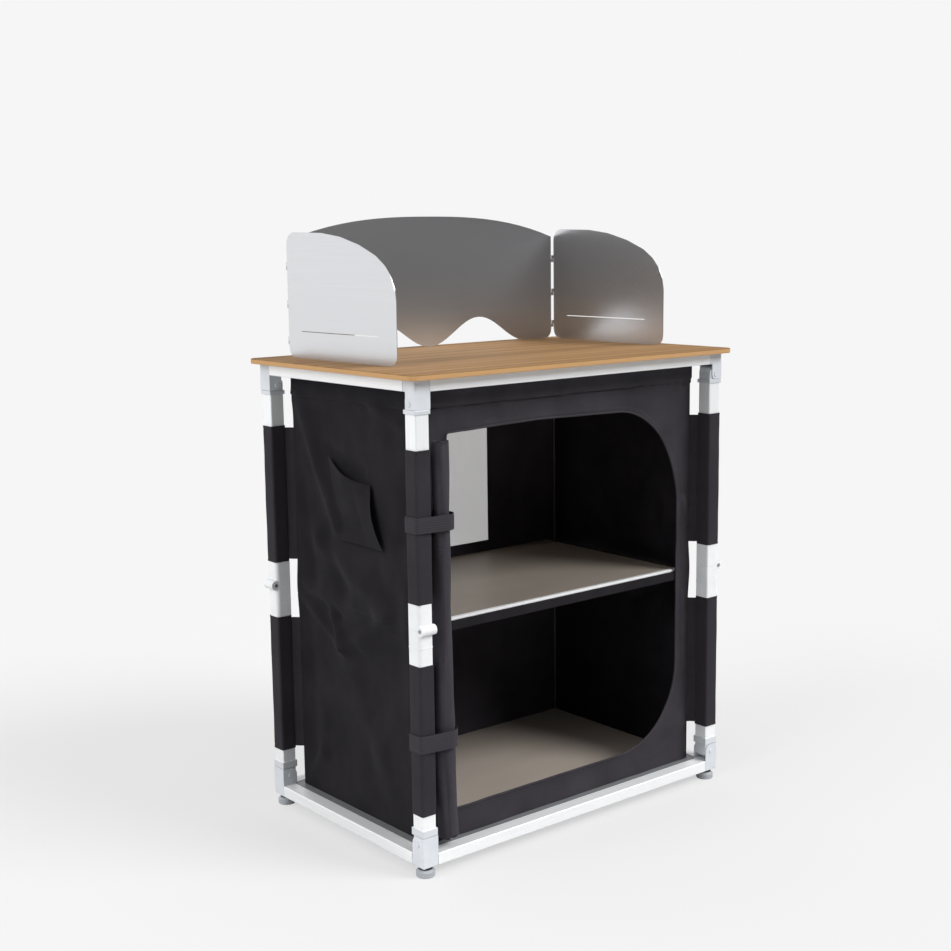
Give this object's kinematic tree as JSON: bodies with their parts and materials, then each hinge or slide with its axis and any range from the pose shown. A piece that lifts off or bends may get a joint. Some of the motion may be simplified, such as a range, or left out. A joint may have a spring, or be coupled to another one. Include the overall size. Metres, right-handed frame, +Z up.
{
  "type": "camp kitchen",
  "caption": "Folding camp kitchen stand: worktop with hinged windscreen over a cloth cupboard with a shelf, on knee-jointed legs that fold flat.",
  "frame": {"origin": "on the floor, at the centre of the object's outline", "axes": "+X right, +Y to the back, +Z up; the open front faces -Y"},
  "size_m": [0.815, 0.535, 1.1813],
  "materials": {
    "frame_aluminium": "satin silver-white",
    "fitting_plastic": "light grey moulded",
    "black_cloth": "woven charcoal polyester",
    "grey_mesh": "fine see-through mesh",
    "bamboo_top": "satin bamboo",
    "taupe_board": "taupe coated board",
    "screen_aluminium": "brushed sheet"
  },
  "bodies": {
    "base": {"base_rail_front": "frame_aluminium", "base_rail_right": "frame_aluminium", "base_rail_back": "frame_aluminium", "base_rail_left": "frame_aluminium", "base_block_front_left": "fitting_plastic", "base_block_front_right": "fitting_plastic", "base_block_back_right": "fitting_plastic", "base_block_back_left": "fitting_plastic", "base_board": "taupe_board", "cloth_walls": "black_cloth", "mesh_window": "grey_mesh", "front_panel": "black_cloth", "side_pocket": "black_cloth", "door_roll": "black_cloth", "roll_strap_lower": "black_cloth", "roll_strap_upper": "black_cloth"},
    "foot_body_front_left": {"foot_front_left": "fitting_plastic"},
    "lower_front_left": {"post_lower_front_left": "frame_aluminium", "knee_lower_front_left": "fitting_plastic", "sleeve_lower_front_left": "black_cloth"},
    "upper_front_left": {"post_upper_front_left": "frame_aluminium", "knee_upper_front_left": "fitting_plastic", "sleeve_upper_front_left": "black_cloth"},
    "foot_body_front_right": {"foot_front_right": "fitting_plastic"},
    "lower_front_right": {"post_lower_front_right": "frame_aluminium", "knee_lower_front_right": "fitting_plastic", "sleeve_lower_front_right": "black_cloth"},
    "upper_front_right": {"post_upper_front_right": "frame_aluminium", "knee_upper_front_right": "fitting_plastic", "sleeve_upper_front_right": "black_cloth"},
    "foot_body_back_right": {"foot_back_right": "fitting_plastic"},
    "lower_back_right": {"post_lower_back_right": "frame_aluminium", "knee_lower_back_right": "fitting_plastic", "sleeve_lower_back_right": "black_cloth"},
    "upper_back_right": {"post_upper_back_right": "frame_aluminium", "knee_upper_back_right": "fitting_plastic", "sleeve_upper_back_right": "black_cloth"},
    "foot_body_back_left": {"foot_back_left": "fitting_plastic"},
    "lower_back_left": {"post_lower_back_left": "frame_aluminium", "knee_lower_back_left": "fitting_plastic", "sleeve_lower_back_left": "black_cloth"},
    "upper_back_left": {"post_upper_back_left": "frame_aluminium", "knee_upper_back_left": "fitting_plastic", "sleeve_upper_back_left": "black_cloth"},
    "top": {"top_rail_front": "frame_aluminium", "top_rail_right": "frame_aluminium", "top_rail_back": "frame_aluminium", "top_rail_left": "frame_aluminium", "top_block_front_left": "fitting_plastic", "top_block_front_right": "fitting_plastic", "top_block_back_right": "fitting_plastic", "top_block_back_left": "fitting_plastic", "worktop": "bamboo_top", "windscreen_back": "screen_aluminium"},
    "wing_left": {"windscreen_wing_left": "screen_aluminium"},
    "wing_right": {"windscreen_wing_right": "screen_aluminium"},
    "shelf": {"shelf_board": "taupe_board", "shelf_sling": "black_cloth"}
  },
  "joints": [
    {"name": "fold_lower_front_left", "type": "hinge", "parent": "base", "child": "lower_front_left", "pos_m": [-0.373, -0.233, 0.062], "axis": [-1, 0, 0], "range_deg": [0, 90], "deforming": ["cloth_walls", "mesh_window", "front_panel", "side_pocket", "door_roll", "roll_strap_lower", "roll_strap_upper"]},
    {"name": "fold_upper_front_left", "type": "hinge", "parent": "lower_front_left", "child": "upper_front_left", "pos_m": [-0.373, -0.2505, 0.46], "axis": [-1, 0, 0], "range_deg": [-180, 0]},
    {"name": "fold_lower_front_right", "type": "hinge", "parent": "base", "child": "lower_front_right", "pos_m": [0.373, -0.233, 0.062], "axis": [0, -1, 0], "range_deg": [0, 90]},
    {"name": "fold_upper_front_right", "type": "hinge", "parent": "lower_front_right", "child": "upper_front_right", "pos_m": [0.3905, -0.233, 0.46], "axis": [0, -1, 0], "range_deg": [-180, 0]},
    {"name": "fold_lower_back_right", "type": "hinge", "parent": "base", "child": "lower_back_right", "pos_m": [0.373, 0.233, 0.062], "axis": [1, 0, 0], "range_deg": [0, 90]},
    {"name": "fold_upper_back_right", "type": "hinge", "parent": "lower_back_right", "child": "upper_back_right", "pos_m": [0.373, 0.2505, 0.46], "axis": [1, 0, 0], "range_deg": [-180, 0]},
    {"name": "fold_lower_back_left", "type": "hinge", "parent": "base", "child": "lower_back_left", "pos_m": [-0.373, 0.233, 0.062], "axis": [0, 1, 0], "range_deg": [0, 90]},
    {"name": "fold_upper_back_left", "type": "hinge", "parent": "lower_back_left", "child": "upper_back_left", "pos_m": [-0.3905, 0.233, 0.46], "axis": [0, 1, 0], "range_deg": [-180, 0]},
    {"name": "top_level", "type": "hinge", "parent": "upper_front_left", "child": "top", "pos_m": [-0.373, -0.233, 0.858], "axis": [-1, 0, 0], "range_deg": [0, 90]},
    {"name": "shelf_drop", "type": "slide", "parent": "base", "child": "shelf", "axis": [0, 0, -1], "range_m": [0, 0.346]},
    {"name": "wing_left_fold", "type": "hinge", "parent": "top", "child": "wing_left", "pos_m": [-0.333, 0.229, 1], "axis": [0, 0, 1], "range_deg": [-88, 88.5]},
    {"name": "wing_right_fold", "type": "hinge", "parent": "top", "child": "wing_right", "pos_m": [0.364, 0.229, 1], "axis": [0, 0, -1], "range_deg": [-88, 88.5]},
    {"name": "foot_level_front_left", "type": "slide", "parent": "base", "child": "foot_body_front_left", "axis": [0, 0, -1], "range_m": [0, 0.01]},
    {"name": "foot_level_front_right", "type": "slide", "parent": "base", "child": "foot_body_front_right", "axis": [0, 0, -1], "range_m": [0, 0.01]},
    {"name": "foot_level_back_right", "type": "slide", "parent": "base", "child": "foot_body_back_right", "axis": [0, 0, -1], "range_m": [0, 0.01]},
    {"name": "foot_level_back_left", "type": "slide", "parent": "base", "child": "foot_body_back_left", "axis": [0, 0, -1], "range_m": [0, 0.01]}
  ],
  "couplings": [
    {"joint": "fold_upper_front_left", "follows": "fold_lower_front_left", "ratio": -2},
    {"joint": "fold_lower_front_right", "follows": "fold_lower_front_left", "ratio": 1},
    {"joint": "fold_upper_front_right", "follows": "fold_lower_front_left", "ratio": -2},
    {"joint": "fold_lower_back_right", "follows": "fold_lower_front_left", "ratio": 1},
    {"joint": "fold_upper_back_right", "follows": "fold_lower_front_left", "ratio": -2},
    {"joint": "fold_lower_back_left", "follows": "fold_lower_front_left", "ratio": 1},
    {"joint": "fold_upper_back_left", "follows": "fold_lower_front_left", "ratio": -2},
    {"joint": "top_level", "follows": "fold_lower_front_left", "ratio": 1},
    {"joint": "shelf_drop", "follows": "fold_lower_front_left", "m_per_rad": 0.22}
  ]
}
